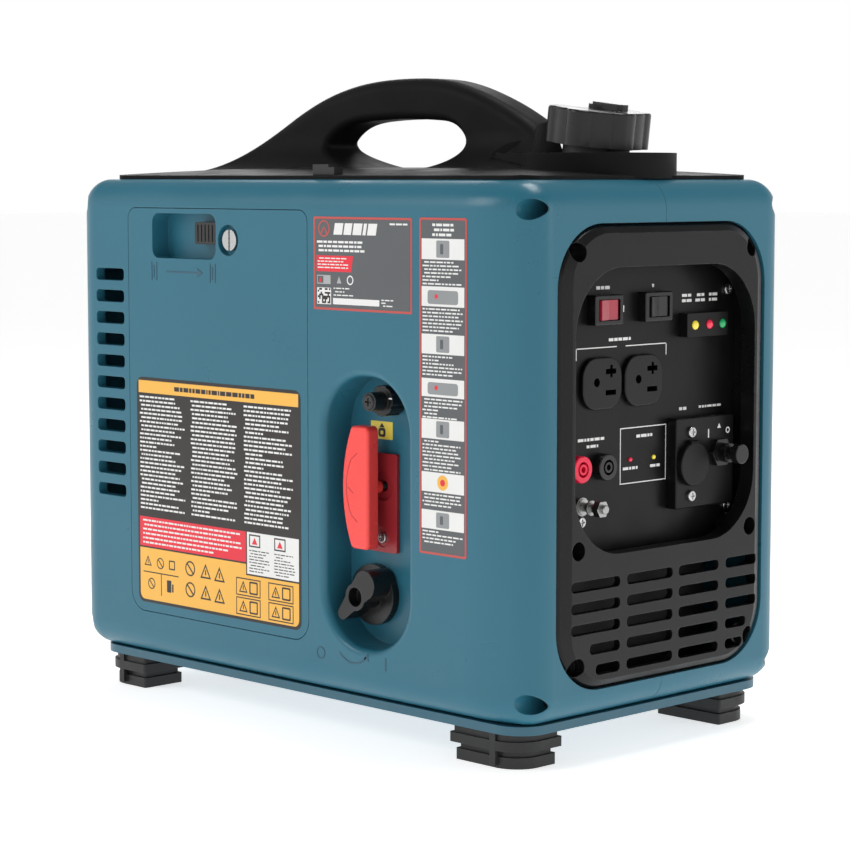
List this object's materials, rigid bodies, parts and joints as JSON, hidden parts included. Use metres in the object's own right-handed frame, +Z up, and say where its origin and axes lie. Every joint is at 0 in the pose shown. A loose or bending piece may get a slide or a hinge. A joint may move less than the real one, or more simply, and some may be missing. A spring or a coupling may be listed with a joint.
{
  "type": "portable inverter generator",
  "caption": "Enclosed portable generator with a carry handle, fuel cap, recoil starter, maintenance door and a recessed control panel with outlets.",
  "frame": {"origin": "on the floor under the middle of the overall box, at the soles of the feet", "axes": "+X towards the control panel end, -Y towards the recoil starter and maintenance door side, +Z up"},
  "size_m": [0.487, 0.275, 0.4554],
  "materials": {
    "body_teal": "satin moulded plastic, teal blue",
    "pan_teal": "painted sheet steel, teal blue",
    "black_plastic": "fine grained black moulding",
    "dark_grey": "dark grey moulding",
    "plate_black": "black panel",
    "foot_rubber": "moulded rubber",
    "guide_red": "dull red moulding",
    "grip_red": "red moulding",
    "rope_black": "braided nylon",
    "black_paint": "black powder coat",
    "spring_steel": "ground steel",
    "reel_plastic": "grey nylon",
    "switch_black": "black moulding",
    "rocker_red": "translucent red moulding",
    "rocker_black": "black moulding",
    "lamp_clear": "coloured lens",
    "receptacle_black": "black moulding",
    "socket_red": "red moulding",
    "socket_black": "black moulding",
    "zinc_steel": "zinc plated",
    "screw_steel": "zinc plated",
    "cover_rubber": "moulded rubber",
    "knob_black": "black moulding",
    "cap_black": "black moulding",
    "gasket_rubber": "moulded rubber",
    "tank_plastic": "blow moulded tank",
    "neck_plastic": "black moulding",
    "cast_alloy": "die cast",
    "plug_white": "glazed insulator",
    "carb_alloy": "die cast",
    "muffler_steel": "heat tinted sheet",
    "fan_alloy": "die cast",
    "copper_wound": "copper windings",
    "heatsink_alloy": "extruded fins"
  },
  "bodies": {
    "chassis": {"left_cover": "body_teal", "right_cover": "body_teal", "base_pan": "pan_teal", "top_cover": "black_plastic", "carry_handle": "black_plastic", "handle_clip": "dark_grey", "control_bezel": "black_plastic", "control_plate": "plate_black", "dc_block": "plate_black", "rear_cover": "black_plastic", "foot_front_left": "foot_rubber", "foot_front_right": "foot_rubber", "foot_rear_left": "foot_rubber", "foot_rear_right": "foot_rubber", "rope_guide": "guide_red", "recoil_housing": "black_paint", "recoil_spring": "spring_steel", "engine_switch_frame": "switch_black", "eco_switch_frame": "switch_black", "indicator_block": "plate_black", "lamp_lenses": "lamp_clear", "receptacle_left": "receptacle_black", "receptacle_right": "receptacle_black", "parallel_socket_red": "socket_red", "parallel_socket_black": "socket_black", "ground_stud": "zinc_steel", "ground_nuts": "zinc_steel", "dc_socket": "zinc_steel", "dc_breaker_body": "switch_black", "bezel_screws": "screw_steel", "panel_screws": "screw_steel", "cover_screws": "black_paint", "fuel_tank": "tank_plastic", "filler_neck": "neck_plastic", "crankcase": "cast_alloy", "cylinder": "cast_alloy", "spark_plug": "plug_white", "carburettor": "carb_alloy", "air_cleaner": "black_plastic", "muffler": "muffler_steel", "stator": "copper_wound", "inverter_module": "heatsink_alloy"},
    "door": {"maintenance_door": "body_teal"},
    "latch": {"door_latch": "dark_grey"},
    "lock": {"door_lock_screw": "screw_steel"},
    "grip": {"starter_grip": "grip_red", "starter_rope": "rope_black"},
    "reel": {"recoil_reel": "reel_plastic"},
    "choke": {"choke_knob": "knob_black", "choke_knob_screw": "black_paint"},
    "valve": {"fuel_valve_knob": "knob_black"},
    "engine_rocker": {"engine_switch_rocker": "rocker_red"},
    "eco_rocker": {"eco_switch_rocker": "rocker_black"},
    "breaker_button": {"dc_breaker_button": "switch_black"},
    "dc_flap": {"dc_cover": "cover_rubber"},
    "cap_lift": {"cap_gasket": "gasket_rubber"},
    "cap": {"fuel_cap": "cap_black"},
    "vent": {"vent_lever": "cap_black"},
    "crank": {"crankshaft": "spring_steel", "flywheel_fan": "fan_alloy"}
  },
  "joints": [
    {"name": "engine_switch", "type": "hinge", "parent": "chassis", "child": "engine_rocker", "pos_m": [0.218, -0.0421, 0.2976], "axis": [0, 0, 1], "range_deg": [-16, 0]},
    {"name": "eco_switch", "type": "hinge", "parent": "chassis", "child": "eco_rocker", "pos_m": [0.218, 0.0084, 0.2982], "axis": [0, 0, 1], "range_deg": [-16, 0]},
    {"name": "breaker_press", "type": "slide", "parent": "chassis", "child": "breaker_button", "axis": [-1, 0, 0], "range_m": [0, 0.003], "stiffness_N_per_m": 1500},
    {"name": "fuel_valve_turn", "type": "hinge", "parent": "chassis", "child": "valve", "pos_m": [0.0728, -0.1375, 0.0998], "axis": [0, -1, 0], "range_deg": [0, 90]},
    {"name": "choke_turn", "type": "hinge", "parent": "chassis", "child": "choke", "pos_m": [0.09, -0.1375, 0.2345], "axis": [0, -1, 0], "range_deg": [0, 90]},
    {"name": "starter_pull", "type": "slide", "parent": "chassis", "child": "grip", "axis": [0, -1, 0], "range_m": [0, 0.6], "stiffness_N_per_m": 30},
    {"name": "reel_spin", "type": "hinge", "parent": "chassis", "child": "reel", "pos_m": [0.0805, 0, 0.126], "axis": [1, 0, 0], "range_deg": [0, 702]},
    {"name": "door_lift_off", "type": "slide", "parent": "chassis", "child": "door", "axis": [0, -1, 0], "range_m": [0, 0.08]},
    {"name": "latch_slide", "type": "slide", "parent": "door", "child": "latch", "axis": [-1, 0, 0], "range_m": [0, 0.015]},
    {"name": "lock_turn", "type": "hinge", "parent": "door", "child": "lock", "pos_m": [-0.0535, -0.1375, 0.3402], "axis": [0, -1, 0], "range_deg": [0, 90]},
    {"name": "crank_spin", "type": "hinge", "parent": "chassis", "child": "crank", "pos_m": [0, 0, 0.126], "axis": [1, 0, 0], "continuous": true},
    {"name": "dc_cover_lift", "type": "hinge", "parent": "chassis", "child": "dc_flap", "pos_m": [0.2243, 0.0416, 0.2039], "axis": [0, -1, 0], "range_deg": [0, 100]},
    {"name": "cap_rise", "type": "slide", "parent": "chassis", "child": "cap_lift", "axis": [0.1219, 0, 0.9925], "range_m": [0, 0.005]},
    {"name": "cap_turn", "type": "hinge", "parent": "cap_lift", "child": "cap", "pos_m": [0.164, 0.01, 0.42], "axis": [0.1219, 0, 0.9925], "range_deg": [0, 360]},
    {"name": "vent_turn", "type": "hinge", "parent": "cap", "child": "vent", "pos_m": [0.164, 0.01, 0.42], "axis": [0.1219, 0, 0.9925], "range_deg": [0, 90]}
  ],
  "couplings": [
    {"joint": "reel_spin", "follows": "starter_pull", "rad_per_m": 20.408},
    {"joint": "cap_rise", "follows": "cap_turn", "m_per_rad": 0.00079577}
  ]
}
